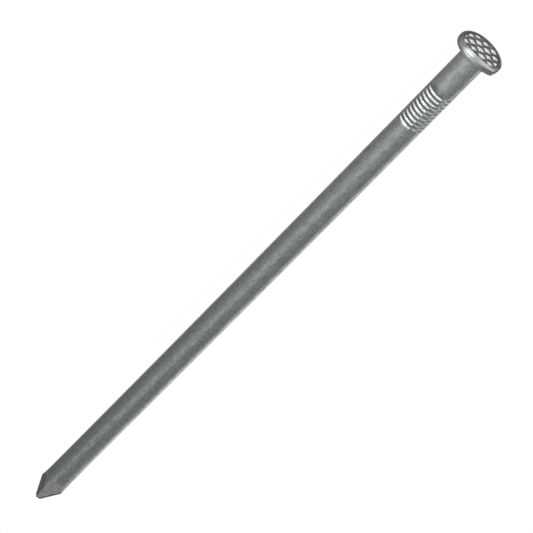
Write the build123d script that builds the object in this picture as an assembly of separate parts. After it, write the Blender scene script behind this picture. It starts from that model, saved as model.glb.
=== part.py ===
from build123d import *
from math import atan2, cos, degrees, hypot, radians, tan
import os

# A round wire nail with a checkered flat head, made in one piece from drawn steel wire.
# Millimetres and degrees. The origin is on the nail's axis at the underside of the head, which is
# the face that comes down on the work. The head is at +Z and the point is at -Z.

# Wire and head
WIRE_DIAMETER = 5.0
OVERALL_LENGTH = 140.0
HEAD_DIAMETER = 8.9
HEAD_THICKNESS = 1.05
HEAD_TOP_ROUND = 0.2
HEAD_UNDER_ROUND = 0.15
NECK_FILLET = 0.3

# Checkered top: two crossing sets of V grooves leave rows of lozenge pads along X
PAD_PITCH_X = 1.87
PAD_PITCH_Y = 2.66
CHECK_GROOVE_WIDTH = 0.75
CHECK_GROOVE_DEPTH = 0.25
CHECK_RADIUS = 3.95
CHECK_OFFSET_X = -0.37

# Grip marks: each of the two gripper dies presses its teeth into the wire along two contact zones
GRIP_TEETH = 10
GRIP_PITCH = 0.914
GRIP_FIRST_Z = -9.72
GRIP_DEPTH = 0.15
GRIP_WIDTH = 0.86
GRIP_ZONE_HALF_ANGLE = 37.0
GRIP_ZONE_SPREAD = 56.0
DIE_DIRECTIONS = (191.0, 11.0)
DIE_MISMATCH = 0.27

# Four-sided point, pinched off with a small blunt tip
POINT_HALF_ANGLE = 15.9
POINT_TIP_SIDE = 0.78
POINT_TURN = 30.0

# Room that cutting tools are given past the surface they cut
CLEAR = 1.0

WIRE_RADIUS = WIRE_DIAMETER / 2
HEAD_RADIUS = HEAD_DIAMETER / 2
TIP_Z = HEAD_THICKNESS - OVERALL_LENGTH


def blank():
    """The headed wire before its marks and point: a plain shank under a round head."""
    outline = Polyline(
        (0, TIP_Z),
        (WIRE_RADIUS, TIP_Z),
        (WIRE_RADIUS, 0),
        (HEAD_RADIUS, 0),
        (HEAD_RADIUS, HEAD_THICKNESS),
        (0, HEAD_THICKNESS),
        (0, TIP_Z),
    )
    profile = make_face(outline)
    rounds = (
        ((WIRE_RADIUS, 0), NECK_FILLET),
        ((HEAD_RADIUS, 0), HEAD_UNDER_ROUND),
        ((HEAD_RADIUS, HEAD_THICKNESS), HEAD_TOP_ROUND),
    )
    for (x, y), radius in rounds:
        corner = profile.vertices().sort_by_distance((x, y, 0))[0]
        profile = fillet(corner, radius)
    return revolve(Plane.XZ * profile, Axis.Z)


def check_grooves():
    """Both crossing sets of V grooves in the top of the head, stopped short of its edge."""
    side = hypot(PAD_PITCH_X, PAD_PITCH_Y) / 2
    pitch = PAD_PITCH_X * PAD_PITCH_Y / 2 / side
    slope = CHECK_GROOVE_WIDTH / 2 / CHECK_GROOVE_DEPTH
    half_width = slope * (CHECK_GROOVE_DEPTH + CLEAR)
    vee = make_face(
        Polyline(
            (0, -CHECK_GROOVE_DEPTH),
            (half_width, CLEAR),
            (-half_width, CLEAR),
            (0, -CHECK_GROOVE_DEPTH),
        )
    )
    groove = extrude(Plane.XZ * vee, amount=HEAD_RADIUS, both=True)
    count = int(CHECK_RADIUS / pitch)
    lean = degrees(atan2(PAD_PITCH_X, PAD_PITCH_Y))
    grooves = []
    for turn in (lean, -lean):
        for i in range(-count - 1, count + 1):
            offset = (i + 0.5) * pitch
            grooves.append(Rot(Z=turn) * Pos(X=offset) * groove)
    # the grooves run out in a slope at the edge of the pattern
    limit = extrude(Circle(CHECK_RADIUS - CHECK_GROOVE_DEPTH), CHECK_GROOVE_DEPTH + CLEAR, taper=-45)
    cut = Pos(X=CHECK_OFFSET_X) * (Part() + grooves)
    return Pos(Z=HEAD_THICKNESS) * (cut & Pos(Z=-CHECK_GROOVE_DEPTH) * limit)


def die_tooth():
    """One V tooth as a ring around Z, set off the nail's axis so that it bites in one zone only."""
    room = WIRE_RADIUS * (1 - cos(radians(GRIP_ZONE_HALF_ANGLE))) - GRIP_DEPTH
    offset = GRIP_DEPTH * (2 * WIRE_RADIUS - GRIP_DEPTH) / 2 / room
    crest = WIRE_RADIUS - GRIP_DEPTH + offset
    slope = GRIP_WIDTH / 2 / GRIP_DEPTH
    vee = make_face(
        Polyline(
            (crest, 0),
            (crest + 2 * GRIP_DEPTH, 2 * GRIP_DEPTH * slope),
            (crest + 2 * GRIP_DEPTH, -2 * GRIP_DEPTH * slope),
            (crest, 0),
        )
    )
    return Pos(X=-offset) * revolve(Plane.XZ * vee, Axis.Z)


def grip_marks():
    """The teeth of both dies at every contact zone. The second die sits a little higher."""
    tooth = die_tooth()
    marks = []
    for die, direction in enumerate(DIE_DIRECTIONS):
        for zone in (-GRIP_ZONE_SPREAD, GRIP_ZONE_SPREAD):
            for i in range(GRIP_TEETH):
                z = GRIP_FIRST_Z - i * GRIP_PITCH + die * DIE_MISMATCH
                marks.append(Rot(Z=direction + zone) * Pos(Z=z) * tooth)
    return marks


def point_waste():
    """What the cutters pinch away: all of the wire outside a four-sided taper."""
    taper_length = (WIRE_RADIUS + CLEAR) / tan(radians(POINT_HALF_ANGLE))
    taper = extrude(Rectangle(POINT_TIP_SIDE, POINT_TIP_SIDE), taper_length, taper=-POINT_HALF_ANGLE)
    block = extrude(Circle(WIRE_RADIUS + CLEAR), taper_length - CLEAR)
    return Pos(Z=TIP_Z) * Rot(Z=POINT_TURN) * (block - taper)


def nail():
    """The finished nail."""
    body = blank() - check_grooves()
    body -= grip_marks()
    return body - point_waste()


os.makedirs("parts", exist_ok=True)
part = nail()
part.label = "nail"
export_step(part, "parts/nail.step")
print("nail: volume", round(part.volume, 1), "mm3, valid", part.is_valid)
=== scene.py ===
import math

import bpy
from mathutils import Matrix, Vector, noise


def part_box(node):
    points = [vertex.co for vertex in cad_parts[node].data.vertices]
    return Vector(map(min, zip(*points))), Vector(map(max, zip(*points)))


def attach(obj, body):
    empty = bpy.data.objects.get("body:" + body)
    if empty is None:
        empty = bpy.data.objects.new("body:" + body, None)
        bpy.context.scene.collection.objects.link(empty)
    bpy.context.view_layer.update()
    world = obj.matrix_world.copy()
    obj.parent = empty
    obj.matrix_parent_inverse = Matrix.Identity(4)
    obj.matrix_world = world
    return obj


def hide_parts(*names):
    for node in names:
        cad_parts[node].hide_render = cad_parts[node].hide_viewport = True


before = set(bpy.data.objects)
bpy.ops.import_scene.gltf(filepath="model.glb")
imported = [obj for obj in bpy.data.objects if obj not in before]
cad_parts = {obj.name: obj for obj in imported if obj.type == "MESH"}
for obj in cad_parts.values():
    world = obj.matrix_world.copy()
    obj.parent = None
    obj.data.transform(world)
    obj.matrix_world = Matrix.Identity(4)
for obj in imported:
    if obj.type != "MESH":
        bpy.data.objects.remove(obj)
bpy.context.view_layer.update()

nail_low, nail_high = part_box("nail")
MM = 0.001

# ---------------------------------------------------------------------------------------------
# Camera: a long lens looks down at the nail from in front, tipped on its side so that the nail
# crosses the picture from corner to corner.
# ---------------------------------------------------------------------------------------------
LENS = 180.96
CAMERA_DISTANCE = 482.1 * MM
CAMERA_ELEVATION = math.radians(35.02)
CAMERA_ROLL = math.radians(44.76)
aim = Vector((-0.071 * MM, 0, nail_high.z - 62.03 * MM))

camera_data = bpy.data.cameras.new("camera")
camera = bpy.data.objects.new("camera", camera_data)
bpy.context.scene.collection.objects.link(camera)
back = Vector((0, -math.cos(CAMERA_ELEVATION), math.sin(CAMERA_ELEVATION)))
camera.location = aim + back * CAMERA_DISTANCE
camera.rotation_mode = "QUATERNION"
upright = (-back).to_track_quat("-Z", "Y")
camera.rotation_quaternion = upright @ Matrix.Rotation(CAMERA_ROLL, 3, "Z").to_quaternion()
camera_data.lens = LENS
camera_data.sensor_width = 36
camera_data.clip_start = 0.01
camera_data.clip_end = 50
bpy.context.scene.camera = camera

# ---------------------------------------------------------------------------------------------
# Floor: a wide, pale and shadowless table top, a little under the point.
# ---------------------------------------------------------------------------------------------
FLOOR_SIZE = 12
FLOOR_GAP = 60 * MM

bpy.ops.object.select_all(action="DESELECT")
bpy.ops.mesh.primitive_plane_add(size=FLOOR_SIZE, location=(0, 0, nail_low.z - FLOOR_GAP))
floor = bpy.context.object
floor.name = "floor"
floor.visible_glossy = False
floor.visible_diffuse = False
floor.visible_shadow = False
paper = bpy.data.materials.new("white paper")
paper.use_nodes = True
paper_nodes = paper.node_tree.nodes
paper_nodes.clear()
paper_glow = paper_nodes.new("ShaderNodeEmission")
paper_glow.inputs["Color"].default_value = (1, 1, 1, 1)
paper_out = paper_nodes.new("ShaderNodeOutputMaterial")
paper.node_tree.links.new(paper_glow.outputs["Emission"], paper_out.inputs["Surface"])
floor.data.materials.append(paper)

# ---------------------------------------------------------------------------------------------
# Light: soft panels round the nail in a dim grey room, with white paper behind it.
# ---------------------------------------------------------------------------------------------
PANEL_DISTANCE = 0.6
COOL = (0.95, 1.0, 1.0)
WARM = (1.0, 1.0, 0.95)
ROOM_GREY = (0.132, 0.136, 0.134, 1)
studio_centre = Vector((0, 0, nail_high.z - 60 * MM))


def panel(name, azimuth, elevation, width, height, brightness, tint=(1, 1, 1)):
    """A soft light panel that faces the nail. Azimuth 0 is in front, and 90 is on the right."""
    a, e = math.radians(azimuth), math.radians(elevation)
    out = Vector((math.sin(a) * math.cos(e), -math.cos(a) * math.cos(e), math.sin(e)))
    light = bpy.data.lights.new(name, "AREA")
    light.shape = "RECTANGLE"
    light.size = width
    light.size_y = height
    light.energy = brightness * math.pi * width * height
    light.color = tint
    lamp = bpy.data.objects.new(name, light)
    bpy.context.scene.collection.objects.link(lamp)
    lamp.location = studio_centre + out * PANEL_DISTANCE
    lamp.rotation_mode = "QUATERNION"
    lamp.rotation_quaternion = (-out).to_track_quat("-Z", "Y")
    lamp.visible_camera = False
    return lamp


panel("key panel", -32, 3, 0.42, 0.34, 2.6, COOL)
panel("front panel", 22, 3, 0.5, 0.34, 1.3, COOL)
panel("left panel", -80, 3, 0.4, 0.34, 1.2, COOL)
panel("upper left panel", -42, 26, 0.7, 0.2, 1.5, COOL)
panel("upper right panel", 24, 26, 0.75, 0.2, 1.4, COOL)
panel("right panel", 75, 3, 0.45, 0.34, 0.7)
panel("top panel", -30, 70, 0.4, 0.5, 1.5)
panel("low back panel", -152, -30, 0.45, 0.3, 0.28)
panel("low front panel", -5, -35, 0.36, 0.35, 0.32, COOL)
panel("low side panel", 55, -35, 0.45, 0.35, 0.05, WARM)
panel("low right panel", 132, -35, 0.42, 0.4, 0.75, WARM)
panel("floor panel", 105, -68, 0.3, 0.3, 0.5, WARM)
panel("back panel", 180, 40, 0.45, 0.4, 1.0)
panel("rim panel", -165, 55, 0.16, 0.16, 4.0)

world = bpy.data.worlds.new("room")
bpy.context.scene.world = world
world.use_nodes = True
room = world.node_tree
room.nodes.clear()
room_out = room.nodes.new("ShaderNodeOutputWorld")
seen = room.nodes.new("ShaderNodeBackground")
seen.inputs["Color"].default_value = (1, 1, 1, 1)
felt = room.nodes.new("ShaderNodeBackground")
felt.inputs["Color"].default_value = ROOM_GREY
either = room.nodes.new("ShaderNodeMixShader")
ray = room.nodes.new("ShaderNodeLightPath")
room.links.new(ray.outputs["Is Camera Ray"], either.inputs["Fac"])
room.links.new(felt.outputs["Background"], either.inputs[1])
room.links.new(seen.outputs["Background"], either.inputs[2])
room.links.new(either.outputs["Shader"], room_out.inputs["Surface"])
bpy.context.scene.view_settings.view_transform = "Standard"

# ---------------------------------------------------------------------------------------------
# The nail is one length of drawn steel wire. Its wall is drawn up here from the tip as rows of
# the same round, packed close where the cutters and the gripper dies mark it, and it widens into
# the head. Rows over the head's face close in to its centre.
# ---------------------------------------------------------------------------------------------
SIDES = 256
WIRE = 2.5 * MM
HEAD = 4.43 * MM
THICK = nail_high.z
NECK_FILLET = 0.3 * MM
UNDER_ROUND = 0.2 * MM
WALL_TOP = 0.85 * MM
FACE_START = 4.0 * MM
GRIP_PITCH = 0.914 * MM
GRIP_TEETH = 10
GRIP_FIRST = -9.75 * MM
ROWS_PER_TOOTH = 10
SHOULDER_LOW = -135.2 * MM
SHOULDER_HIGH = -127.2 * MM
RIM_RINGS = 16
FACE_RINGS = 50

grip_top = GRIP_FIRST + GRIP_PITCH / 2
grip_bottom = grip_top - GRIP_TEETH * GRIP_PITCH


def rows(low, high, count):
    """Heights of evenly spaced rows on the wire, from one height up to just under another."""
    return [(WIRE, low + (high - low) * i / count) for i in range(count)]


def round_over(centre_radius, centre_z, size, start, end, count):
    """Points along a quarter round, by the angle of its outward direction over the horizontal."""
    points = []
    for i in range(count + 1):
        a = math.radians(start + (end - start) * i / count)
        points.append((centre_radius + size * math.cos(a), centre_z + size * math.sin(a)))
    return points


outline = [(WIRE, nail_low.z)]
outline += rows(SHOULDER_LOW, SHOULDER_HIGH, 24)
outline += rows(SHOULDER_HIGH, grip_bottom, 40)
outline += rows(grip_bottom, grip_top, GRIP_TEETH * ROWS_PER_TOOTH)
outline += rows(grip_top, -NECK_FILLET, 9)
outline += round_over(WIRE + NECK_FILLET, -NECK_FILLET, NECK_FILLET, 180, 90, 6)
flat_start, flat_end = WIRE + NECK_FILLET, HEAD - UNDER_ROUND
outline += [(flat_start + (flat_end - flat_start) * i / 6, 0) for i in range(1, 6)]
outline += round_over(HEAD - UNDER_ROUND, UNDER_ROUND, UNDER_ROUND, -90, 0, 6)
outline += [(HEAD, UNDER_ROUND + (WALL_TOP - UNDER_ROUND) * i / 4) for i in range(1, 4)]
for i in range(RIM_RINGS + 1):
    a = math.pi / 2 * i / RIM_RINGS
    across = FACE_START + (HEAD - FACE_START) * math.cos(a)
    outline.append((across, WALL_TOP + (THICK - WALL_TOP) * math.sin(a)))
outline += [(FACE_START * (1 - i / FACE_RINGS), THICK) for i in range(1, FACE_RINGS)]

bpy.ops.object.select_all(action="DESELECT")
bpy.ops.mesh.primitive_circle_add(vertices=SIDES, radius=WIRE, fill_type="NOTHING",
                                  location=(0, 0, nail_low.z))
nail = bpy.context.object
nail.name = "nail_body"
bpy.ops.object.transform_apply(location=True, rotation=True, scale=True)
bpy.ops.object.mode_set(mode="EDIT")
bpy.ops.mesh.edge_face_add()
bpy.ops.mesh.select_mode(type="EDGE")
bpy.ops.mesh.select_all(action="SELECT")
for (radius, z), (next_radius, next_z) in zip(outline, outline[1:]):
    bpy.ops.mesh.extrude_edges_move(TRANSFORM_OT_translate={"value": (0, 0, next_z - z)})
    if abs(next_radius - radius) > 1e-9:
        grow = next_radius / radius
        bpy.ops.transform.resize(value=(grow, grow, 1), center_override=(0, 0, next_z))
bpy.ops.mesh.merge(type="CENTER")
bpy.ops.mesh.select_all(action="SELECT")
bpy.ops.mesh.normals_make_consistent(inside=False)
bpy.ops.object.mode_set(mode="OBJECT")

# ---------------------------------------------------------------------------------------------
# Gripper dies hold the wire while it is headed, and their teeth press ten marks into it. A mark
# is steep on its lower flank. The right die sits a little nearer the head than the left one, and
# the marks change over at the line where the dies part.
# ---------------------------------------------------------------------------------------------
LEFT_DIE = {"middles": (258.0, 138.0), "half": 50.0, "bite": 0.17 * MM, "rise": 0.0,
            "lower_flank": 1.9, "upper_flank": 3.4}
RIGHT_DIE = {"middles": (317.0, 64.0), "half": 37.0, "bite": 0.12 * MM, "rise": 0.3 * GRIP_PITCH,
             "lower_flank": 3.2, "upper_flank": 4.3}
PARTING = 282.5
FIRST_MARKS_PARTING = 306.0
LONG_MARKS = 3
PARTING_BLUR = 2.5
UNEVEN = 0.22
# the left die's marks are polished more than the right die's, and their lighter colour is a painted
# highlight
LEFT_SHINE = 0.65
RIGHT_SHINE = 0.2
UPPER_SHARE = 0.61


def mark_depth(die, angle, z):
    """How deep a die's nearest tooth has gone in at a place on the wire.

    The upper flank of a mark takes up the larger share of the pitch.
    """
    step = (GRIP_FIRST + die["rise"] - z) / GRIP_PITCH
    nearest = min(max(math.floor(step + UPPER_SHARE), 0), GRIP_TEETH - 1)
    below = (step - nearest) * GRIP_PITCH
    parting = FIRST_MARKS_PARTING if nearest < LONG_MARKS else PARTING
    past = math.remainder(angle - parting, 360)
    if -150 < past < 150:
        side = past if die is RIGHT_DIE else -past
        share = min(max(0.5 + side / PARTING_BLUR, 0), 1)
    else:
        share = 1
    depth = 0
    for middle in die["middles"]:
        off = abs(math.remainder(angle - middle, 360)) / die["half"]
        if off < 1:
            uneven = 1 + UNEVEN * noise.noise(Vector((nearest * 1.7, middle, 0.5)))
            depth = max(depth, die["bite"] * uneven * (1 - off ** 3) * share)
    return depth - (below / die["lower_flank"] if below > 0 else -below / die["upper_flank"])


# darkening: painted shade under the head and over the rim, and darker grooves in the face
dark_and_painted_shade = nail.data.attributes.new("dark_and_painted_shade", "FLOAT", "POINT")
# lighter, smoother steel: the tools' polish on the face and marks, and a painted highlight on the
# rim and the left die's marks
polish_and_painted_highlight = nail.data.attributes.new("polish_and_painted_highlight", "FLOAT", "POINT")
for v in nail.data.vertices:
    if grip_bottom - GRIP_PITCH < v.co.z < grip_top + GRIP_PITCH:
        angle = math.atan2(v.co.y, v.co.x)
        turn = math.degrees(angle)
        left = mark_depth(LEFT_DIE, turn, v.co.z)
        depth = max(left, mark_depth(RIGHT_DIE, turn, v.co.z))
        if depth > 0:
            v.co.x = (WIRE - depth) * math.cos(angle)
            v.co.y = (WIRE - depth) * math.sin(angle)
            # the marks are polished, and the left die's are made lighter still as a painted
            # highlight
            polish_and_painted_highlight.data[v.index].value = LEFT_SHINE if left == depth else RIGHT_SHINE

# ---------------------------------------------------------------------------------------------
# The heading punch upsets the end of the wire into the head and prints crossing V grooves in its
# face. It lands a little off centre, so the metal doesn't fill the front and left of the rim,
# which stays round. The print ends there in a chord, with a narrow groove along it.
# ---------------------------------------------------------------------------------------------
PAD_X = 1.87 * MM
PAD_Y = 2.66 * MM
PAD_SHIFT = -0.2 * MM
PAD_LONG = 0.76
PAD_SHORT = 0.34
PAD_ROUNDNESS = 1.35
PAD_UNEVEN = 0.35
GROOVE_DEPTH = 0.27 * MM
PRINT_RADIUS = 3.98 * MM
CHORD = 2.2 * MM
CHORD_TURN = math.radians(-88.0)
CORNER_SHARPNESS = 7
PRINT_FADE = 0.22 * MM
EDGE_GROOVE_HALF = 0.24 * MM
EDGE_GROOVE_DEPTH = 0.15 * MM
BACK_ROLL = 0.2 * MM
FRONT_ROLL = 0.36 * MM
LEFT_ROLL = 0.42 * MM
FRONT_SHORT = 0.35 * MM
RIGHT_LOBE = 0.28 * MM
LOBE_TURN = math.radians(-31)
LOBE_WIDTH = math.radians(11)
# the face's grooves are darker the deeper they are
DARKEST_DEPTH = 0.14 * MM
GROOVE_DARKENING = 0.85
# painted shadow on the neck under the head
NECK_PAINTED_SHADOW = 0.75
NECK_SHADE = 0.5 * MM
# painted shade on the head's underside and the foot of its wall
EDGE_SHADE = 0.32 * MM
# painted shade over the rim and along the print's back edge, lighter at the front and at the right
# front corner, in patches
BACK_PAINTED_SHADE = 1.0
FRONT_PAINTED_SHADE = 0.5
SHADE_PATCHES = 0.5
SHADE_PATCHES_PER_METRE = 1400
CORNER_LESS_SHADE = 0.8
# height of a painted dark line low on the roll at the right front corner
CORNER_LINE_HEIGHT = 0.45
# where a painted highlight lies on the front of the rim
HIGHLIGHT_TURN = math.radians(-106)
HIGHLIGHT_WIDTH = math.radians(17)


def print_reach(angle):
    """The radius at which the print ends: round, with its front cut off along a chord."""
    towards = max(math.cos(angle - CHORD_TURN), 0)
    near = (1 / PRINT_RADIUS) ** CORNER_SHARPNESS + (towards / CHORD) ** CORNER_SHARPNESS
    return near ** (-1 / CORNER_SHARPNESS)


def rim_reach(angle):
    """The head's radius: short at the front, where the metal ran out, with a lobe at the right."""
    off_lobe = math.remainder(angle - LOBE_TURN, 2 * math.pi) / LOBE_WIDTH
    short = FRONT_SHORT * max(-math.sin(angle), 0) ** 3
    return HEAD - short + RIGHT_LOBE * math.exp(-off_lobe ** 2)


def rim_roll(angle):
    """How far the rim rolls down from the face: most at the front, then at the left."""
    front = max(-math.sin(angle), 0) ** 2
    left = max(-math.cos(angle), 0) ** 3
    round_front = BACK_ROLL + (FRONT_ROLL - BACK_ROLL) * front
    return round_front + (LEFT_ROLL - BACK_ROLL) * left * (1 - front)


def printed_depth(x, y, reach):
    """How deep the punch's ridges have printed at a place on the face."""
    first = (x - PAD_SHIFT) / PAD_X + y / PAD_Y
    second = (x - PAD_SHIFT) / PAD_X - y / PAD_Y
    from_first, from_second = first - round(first), second - round(second)
    along, over = abs(from_first + from_second), abs(from_first - from_second)
    size = 1 + PAD_UNEVEN * noise.noise(Vector((round(first) * 3.1, round(second) * 2.3, 4.5)))
    long_way = (along / PAD_LONG) ** PAD_ROUNDNESS
    short_way = (over / PAD_SHORT) ** PAD_ROUNDNESS
    off_pad = (long_way + short_way) ** (1 / PAD_ROUNDNESS) / size
    to_line = max(1 - along - over, 0)
    past_pad = max(off_pad - 1, 0)
    deepest = past_pad / (past_pad + to_line) if past_pad > 0 else 0
    inside = reach - math.hypot(x, y)
    fade = min(max(inside / PRINT_FADE, 0), 1)
    edge = max(0, 1 - abs(inside - EDGE_GROOVE_HALF) / EDGE_GROOVE_HALF)
    return max(GROOVE_DEPTH * deepest * fade, EDGE_GROOVE_DEPTH * edge)


# the face is darker in its grooves, the deeper the darker, and painted shade lies under the head,
# along the print's edge at the back and over the rim. On the rim the painted shade is less at the
# front and at the right front corner, fades low on the roll at the front and is left out where the
# rim has a painted highlight, but a painted dark line runs low on the roll at the right front
# corner
for v in nail.data.vertices:
    radius = math.hypot(v.co.x, v.co.y)
    # painted shadow on the neck under the head, darkest right under it
    if -NECK_SHADE < v.co.z < 1e-7:
        dark_and_painted_shade.data[v.index].value = NECK_PAINTED_SHADOW * (1 + v.co.z / NECK_SHADE)
    if v.co.z < -1e-7 or radius < 1e-7:
        continue
    angle = math.atan2(v.co.y, v.co.x)
    reach = print_reach(angle)
    roll = rim_roll(angle)
    rim = rim_reach(angle)
    if radius < FACE_START + 1e-9 and v.co.z > WALL_TOP:
        radius *= reach / FACE_START
        v.co.x = radius * math.cos(angle)
        v.co.y = radius * math.sin(angle)
        depth = printed_depth(v.co.x, v.co.y, reach)
        v.co.z = THICK - depth
        # darker the deeper the groove
        face_darkening = GROOVE_DARKENING * min(depth / DARKEST_DEPTH, 1)
        # painted shade along the print's edge, heaviest at the back and none at the front
        if reach - radius < EDGE_GROOVE_HALF:
            face_darkening = max(face_darkening, BACK_PAINTED_SHADE * (1 - max(-math.sin(angle), 0)))
        dark_and_painted_shade.data[v.index].value = face_darkening
        polish_and_painted_highlight.data[v.index].value = 1 - face_darkening
    elif v.co.z > WALL_TOP - 1e-9:
        out = (radius - FACE_START) / (HEAD - FACE_START)
        up = (v.co.z - WALL_TOP) / (THICK - WALL_TOP)
        radius = reach + (rim - reach) * out
        v.co.x = radius * math.cos(angle)
        v.co.y = radius * math.sin(angle)
        v.co.z = THICK - roll * (1 - up)
        # a painted highlight on the front of the rim: lighter, smoother colour, and no painted
        # shade there
        off_highlight = math.remainder(angle - HIGHLIGHT_TURN, 2 * math.pi) / HIGHLIGHT_WIDTH
        painted_highlight = math.exp(-off_highlight ** 2)
        # painted shade over the rim, heavier at the back, lighter at the front and at the right
        # front corner, in patches
        front = max(-math.sin(angle), 0)
        corner = max(-math.sin(2 * angle), 0) if angle < 0 else 0
        rim_shade = (BACK_PAINTED_SHADE + (FRONT_PAINTED_SHADE - BACK_PAINTED_SHADE) * front) * (1 - CORNER_LESS_SHADE * corner)
        rim_shade *= 1 + SHADE_PATCHES * noise.noise(v.co * SHADE_PATCHES_PER_METRE)
        # the painted shade fades out low on the roll at the front
        low_front_fade = front * (1 - min(2 * up, 1))
        # a painted dark line low on the roll at the right front corner
        corner_line = corner if up < CORNER_LINE_HEIGHT else 0
        dark_and_painted_shade.data[v.index].value = max(rim_shade * (1 - painted_highlight) * (1 - low_front_fade), corner_line, 0)
        polish_and_painted_highlight.data[v.index].value = painted_highlight
    elif radius > flat_start:
        up = max(v.co.z, 0) / WALL_TOP
        v.co.z = up * (THICK - roll)
        radius = WIRE + (radius - WIRE) * (rim - WIRE) / (HEAD - WIRE)
        v.co.x = radius * math.cos(angle)
        v.co.y = radius * math.sin(angle)
        # painted shade on the head's underside and the foot of its wall, fading out up the wall
        dark_and_painted_shade.data[v.index].value = max(1 - up * WALL_TOP / EDGE_SHADE, 0)

# ---------------------------------------------------------------------------------------------
# Cutters close on the wire from the front and back and pinch it off. They leave a four-sided
# point with a blunt tip, and squeeze the metal out a little into a wing at each side.
# ---------------------------------------------------------------------------------------------
APEX = Vector((-0.18, 0, -140.36)) * MM
CORNERS = (
    {"turn": 180.0, "radius": 2.64 * MM, "z": -133.86 * MM, "wing_height": 1.3 * MM},
    {"turn": 253.7, "radius": 2.5 * MM, "z": -133.3 * MM},
    {"turn": 350.0, "radius": 2.69 * MM, "z": -133.75 * MM, "wing_height": 5.4 * MM},
    {"turn": 73.7, "radius": 2.5 * MM, "z": -133.3 * MM},
)
WINGS = (CORNERS[0], CORNERS[2])
WING_WIDTH = 15.0
TIP_SLANT = Vector((-0.15, -0.05, -1)).normalized()
TIP_LOSS = 0.17 * MM
TIP_HEIGHT = 0.3 * MM
FIN = 0.32 * MM
FIN_FADE = 0.07 * MM
FIN_REACH = 1.05 * FIN
CUT_EXACT = 1e-8

for v in nail.data.vertices:
    if v.co.z < grip_bottom:
        turn = math.degrees(math.atan2(v.co.y, v.co.x))
        for wing in WINGS:
            off = math.remainder(turn - wing["turn"], 360) / WING_WIDTH
            above = max(v.co.z - wing["z"], 0) / wing["wing_height"]
            rise = (wing["radius"] - WIRE) * math.exp(-off * off - above)
            v.co.x *= 1 + rise / WIRE
            v.co.y *= 1 + rise / WIRE


def corner_point(corner):
    """Where an edge of the point meets the wire's side."""
    a = math.radians(corner["turn"])
    return Vector((corner["radius"] * math.cos(a), corner["radius"] * math.sin(a), corner["z"]))


slopes = []
bpy.ops.object.mode_set(mode="EDIT")
for corner, next_corner in zip(CORNERS, CORNERS[1:] + CORNERS[:1]):
    first, second = corner_point(corner), corner_point(next_corner)
    slope = (first - APEX).cross(second - APEX).normalized()
    if slope.dot(Vector((first.x + second.x, first.y + second.y, 0))) < 0:
        slope = -slope
    slopes.append(slope)
    bpy.ops.mesh.select_all(action="SELECT")
    bpy.ops.mesh.bisect(plane_co=APEX, plane_no=slope, use_fill=True, clear_outer=True,
                        threshold=CUT_EXACT)
bpy.ops.mesh.select_all(action="SELECT")
tip_end = Vector((0, 0, nail_low.z + TIP_LOSS))
bpy.ops.mesh.bisect(plane_co=tip_end, plane_no=TIP_SLANT, use_fill=True, clear_outer=True,
                    threshold=CUT_EXACT)
# lines cut in from the wings and from the tip give the dark flash and its painted shade there a
# clear edge
fins = []
for wing in WINGS:
    side = corner_point(wing) - APEX
    outward = Vector((side.x, side.y, 0)).normalized()
    fin = (outward * side.z - Vector((0, 0, 1)) * side.dot(outward)).normalized()
    fins.append(fin)
    for depth in (FIN, FIN + FIN_FADE):
        bpy.ops.mesh.select_all(action="SELECT")
        bpy.ops.mesh.bisect(plane_co=APEX - fin * depth, plane_no=fin, threshold=CUT_EXACT)
for height in (FIN, FIN + FIN_FADE):
    bpy.ops.mesh.select_all(action="SELECT")
    bpy.ops.mesh.bisect(plane_co=tip_end - TIP_SLANT * height, plane_no=TIP_SLANT,
                        threshold=CUT_EXACT)
bpy.ops.mesh.select_all(action="SELECT")
bpy.ops.mesh.remove_doubles(threshold=1e-7)
bpy.ops.mesh.normals_make_consistent(inside=False)
bpy.ops.object.mode_set(mode="OBJECT")

# the cut faces and the head are told apart from the drawn wire, and the cut faces get sharp borders
bpy.ops.object.mode_set(mode="EDIT")
bpy.ops.mesh.select_mode(type="FACE")
bpy.ops.mesh.select_all(action="DESELECT")
bpy.ops.object.mode_set(mode="OBJECT")
DRAWN, HEADED, CUT = 0, 1, 2
for face in nail.data.polygons:
    facet = any(face.normal.dot(slope) > 0.9999 for slope in slopes)
    tip = face.normal.z < -0.9 and face.center.z < nail_low.z + TIP_HEIGHT
    wire_or_head = HEADED if face.center.z > -NECK_FILLET else DRAWN
    face.select = facet or tip
    face.material_index = CUT if facet or tip else wire_or_head
bpy.ops.object.mode_set(mode="EDIT")
bpy.ops.mesh.region_to_loop()
bpy.ops.mesh.mark_sharp()
bpy.ops.object.mode_set(mode="OBJECT")

# flash stands along the wings and round the tip, where the cutters met, and is darkened there as
# painted shade along the point's outline
flash_and_painted_shade = nail.data.attributes.new("flash_and_painted_shade", "FLOAT", "POINT")
for v in nail.data.vertices:
    if v.co.z < (SHOULDER_LOW + SHOULDER_HIGH) / 2:
        on_fin = any(fin.dot(v.co - APEX) > -FIN_REACH for fin in fins)
        at_tip = TIP_SLANT.dot(v.co - tip_end) > -FIN_REACH
        flash_and_painted_shade.data[v.index].value = 1 if on_fin or at_tip else 0

# ---------------------------------------------------------------------------------------------
# The wire keeps a slight bow from the coil that it was straightened from.
# ---------------------------------------------------------------------------------------------
BOW = 0.13 * MM

half_length = (nail_high.z - nail_low.z) / 2
for v in nail.data.vertices:
    along = (v.co.z - nail_low.z) / half_length - 1
    v.co.x += BOW * (1 - along * along)

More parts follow.
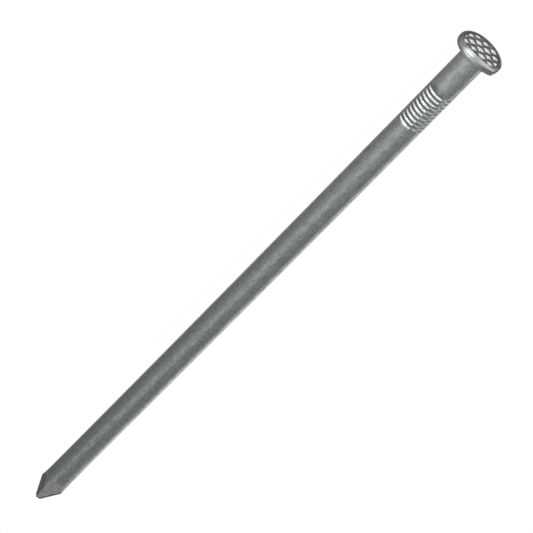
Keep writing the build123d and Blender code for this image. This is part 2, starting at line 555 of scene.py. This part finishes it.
# ---------------------------------------------------------------------------------------------
# Bright steel without a coating. The wire carries fine lines from the drawing die and cloudy
# patches of drawing soap. The head and the marks are burnished by the tools that pressed them,
# and a highlight is painted on the rim and on the left die's marks. The face is darker in its deep
# grooves, and painted shade darkens under the head, over the rim and along the point's outline.
# The cut faces are plain, with the cutters' own marks.
# ---------------------------------------------------------------------------------------------
GRAINS_PER_METRE = 4200.0
SPECKS_PER_METRE = 1900.0
LINE_STRETCH = 0.03
CLOUD_SHARE = 0.3
GRAIN_SHARE = 1.4
RELIEF_DEPTH = 0.02 * MM
# the lighter colour of the tools' polish and of painted highlights
POLISH_AND_HIGHLIGHT = (0.66, 0.68, 0.675, 1)
POLISH_AND_HIGHLIGHT_SHARE = 0.6
POLISHED_RELIEF = 0.2
POLISHED_ROUGHNESS = -0.12
# the dark colour of specks and of painted shade
DARK_SPECK_AND_SHADE = (0.045, 0.05, 0.048, 1)
SPECK_SHARE = 0.2
# how far painted shade and dark grooves darken the steel
DARKENING_SHARE = 0.85
DARKENING_ROUGHNESS = 0.25
DARKENING_METAL = 0.15


def wire_up(tree, kind, inputs=None, **settings):
    """Adds a node to a tree. An input is a plain value, or a socket that is linked to it."""
    made = tree.nodes.new(kind)
    for key, value in settings.items():
        setattr(made, key, value)
    for key, value in (inputs or {}).items():
        if isinstance(value, bpy.types.NodeSocket):
            tree.links.new(value, made.inputs[key])
        else:
            made.inputs[key].default_value = value
    return made


def steel_grain():
    """A group that gives steel its cloudy patches, its fine lines and its specks."""
    group = bpy.data.node_groups.new("steel grain", "ShaderNodeTree")
    group.interface.new_socket("Place", in_out="INPUT", socket_type="NodeSocketVector")
    for setting in ("Patches per metre", "Patch run", "Lines"):
        group.interface.new_socket(setting, in_out="INPUT", socket_type="NodeSocketFloat")
    for result in ("Tone", "Specks", "Height"):
        group.interface.new_socket(result, in_out="OUTPUT", socket_type="NodeSocketFloat")
    given = group.nodes.new("NodeGroupInput").outputs
    split = wire_up(group, "ShaderNodeSeparateXYZ", {0: given["Place"]}).outputs
    run = wire_up(group, "ShaderNodeMath", {0: split["Z"], 1: given["Patch run"]},
                  operation="MULTIPLY").outputs[0]
    patch_place = wire_up(group, "ShaderNodeCombineXYZ",
                          {"X": split["X"], "Y": split["Y"], "Z": run}).outputs[0]
    patches = wire_up(group, "ShaderNodeTexNoise",
                      {"Vector": patch_place, "Scale": given["Patches per metre"],
                       "Detail": 4.0, "Roughness": 0.62}).outputs["Fac"]
    grain = wire_up(group, "ShaderNodeTexNoise",
                    {"Vector": given["Place"], "Scale": GRAINS_PER_METRE, "Detail": 3.0,
                     "Roughness": 0.6}).outputs["Fac"]
    stretched = wire_up(group, "ShaderNodeMath", {0: split["Z"], 1: LINE_STRETCH},
                        operation="MULTIPLY").outputs[0]
    line_place = wire_up(group, "ShaderNodeCombineXYZ",
                         {"X": split["X"], "Y": split["Y"], "Z": stretched}).outputs[0]
    lines = wire_up(group, "ShaderNodeTexNoise",
                    {"Vector": line_place, "Scale": GRAINS_PER_METRE, "Detail": 2.0}).outputs["Fac"]
    line_share = wire_up(group, "ShaderNodeMath", {0: lines, 1: given["Lines"]},
                         operation="MULTIPLY").outputs[0]
    cloud = wire_up(group, "ShaderNodeMapRange", {0: patches, 1: 0.38, 2: 0.62}).outputs[0]
    cloudy = wire_up(group, "ShaderNodeMath", {0: cloud, 1: CLOUD_SHARE, 2: line_share},
                     operation="MULTIPLY_ADD").outputs[0]
    mottled = wire_up(group, "ShaderNodeMath", {0: grain, 1: GRAIN_SHARE, 2: cloudy},
                      operation="MULTIPLY_ADD").outputs[0]
    tone = wire_up(group, "ShaderNodeMapRange", {0: mottled, 1: 0.675, 2: 1.375}).outputs[0]
    spots = wire_up(group, "ShaderNodeTexNoise",
                    {"Vector": given["Place"], "Scale": SPECKS_PER_METRE,
                     "Detail": 1.0}).outputs["Fac"]
    specks = wire_up(group, "ShaderNodeMapRange", {0: spots, 1: 0.67, 2: 0.76}).outputs[0]
    height = wire_up(group, "ShaderNodeMath", {0: grain, 1: line_share}, operation="ADD").outputs[0]
    end = group.nodes.new("NodeGroupOutput")
    group.links.new(tone, end.inputs["Tone"])
    group.links.new(specks, end.inputs["Specks"])
    group.links.new(height, end.inputs["Height"])
    return group


def steel(name, patches, run, lines, dark, light, dull, shiny, relief, darkening):
    """Bare steel. One vertex attribute darkens it, as painted shade, dark grooves and flash;
    another makes it lighter and smoother, as the tools' polish and a painted highlight.
    """
    material = bpy.data.materials.new(name)
    material.use_nodes = True
    tree = material.node_tree
    bsdf = tree.nodes["Principled BSDF"]
    place = tree.nodes.new("ShaderNodeTexCoord").outputs["Object"]
    grain = wire_up(tree, "ShaderNodeGroup", node_tree=grain_group)
    grain.inputs["Patches per metre"].default_value = patches
    grain.inputs["Patch run"].default_value = run
    grain.inputs["Lines"].default_value = lines
    tree.links.new(place, grain.inputs["Place"])
    darkened = wire_up(tree, "ShaderNodeAttribute", attribute_name=darkening).outputs["Fac"]
    polish_and_highlight = wire_up(tree, "ShaderNodeAttribute", attribute_name="polish_and_painted_highlight").outputs["Fac"]

    def blend(share, first, second):
        """A mix of two colours."""
        mix = wire_up(tree, "ShaderNodeMix", {0: share, 6: first, 7: second}, data_type="RGBA")
        return mix.outputs[2]

    def between(share, low, high):
        """A value that runs from low to high as its share runs from 0 to 1."""
        return wire_up(tree, "ShaderNodeMapRange", {0: share, 3: low, 4: high}).outputs[0]

    clean = blend(grain.outputs["Tone"], dark, light)
    # the tools' polish and painted highlights make the colour lighter
    polished_and_lit = blend(between(polish_and_highlight, 0.0, POLISH_AND_HIGHLIGHT_SHARE), clean, POLISH_AND_HIGHLIGHT)
    specked = blend(between(grain.outputs["Specks"], 0.0, SPECK_SHARE), polished_and_lit, DARK_SPECK_AND_SHADE)
    # painted shade, dark grooves and flash make the colour darker
    colour = blend(between(darkened, 0.0, DARKENING_SHARE), specked, DARK_SPECK_AND_SHADE)
    tree.links.new(colour, bsdf.inputs["Base Color"])
    rough = between(grain.outputs["Tone"], dull, shiny)
    smoothed = wire_up(tree, "ShaderNodeMath", {0: polish_and_highlight, 1: POLISHED_ROUGHNESS, 2: rough},
                       operation="MULTIPLY_ADD").outputs[0]
    oily = wire_up(tree, "ShaderNodeMath", {0: darkened, 1: DARKENING_ROUGHNESS, 2: smoothed},
                   operation="MULTIPLY_ADD").outputs[0]
    tree.links.new(oily, bsdf.inputs["Roughness"])
    tree.links.new(between(darkened, 1.0, DARKENING_METAL), bsdf.inputs["Metallic"])
    strength = between(polish_and_highlight, relief, relief * POLISHED_RELIEF)
    bump = wire_up(tree, "ShaderNodeBump", {"Strength": strength, "Distance": RELIEF_DEPTH,
                                            "Height": grain.outputs["Height"]})
    tree.links.new(bump.outputs["Normal"], bsdf.inputs["Normal"])
    return material


grain_group = steel_grain()
# the drawn and headed steel are darkened by painted shade, and in the face's grooves
drawn_steel = steel(
    "drawn steel", patches=1500.0, run=0.5, lines=0.35, dark=(0.32, 0.345, 0.345, 1),
    light=(0.76, 0.785, 0.78, 1), dull=0.48, shiny=0.33, relief=0.22, darkening="dark_and_painted_shade")
headed_steel = steel(
    "headed steel", patches=2100.0, run=1.0, lines=0.0, dark=(0.45, 0.465, 0.46, 1),
    light=(0.63, 0.65, 0.645, 1), dull=0.36, shiny=0.30, relief=0.06, darkening="dark_and_painted_shade")
# the cut faces are darkened by flash and by painted shade along the point's outline
cut_steel = steel(
    "cut steel", patches=1700.0, run=0.5, lines=0.3, dark=(0.33, 0.34, 0.325, 1),
    light=(0.64, 0.65, 0.62, 1), dull=0.47, shiny=0.33, relief=0.45, darkening="flash_and_painted_shade")
for material in (drawn_steel, headed_steel, cut_steel):
    nail.data.materials.append(material)
bpy.ops.object.select_all(action="DESELECT")
nail.select_set(True)
bpy.context.view_layer.objects.active = nail
bpy.ops.object.shade_smooth_by_angle(angle=math.radians(50))

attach(nail, "root")
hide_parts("nail")
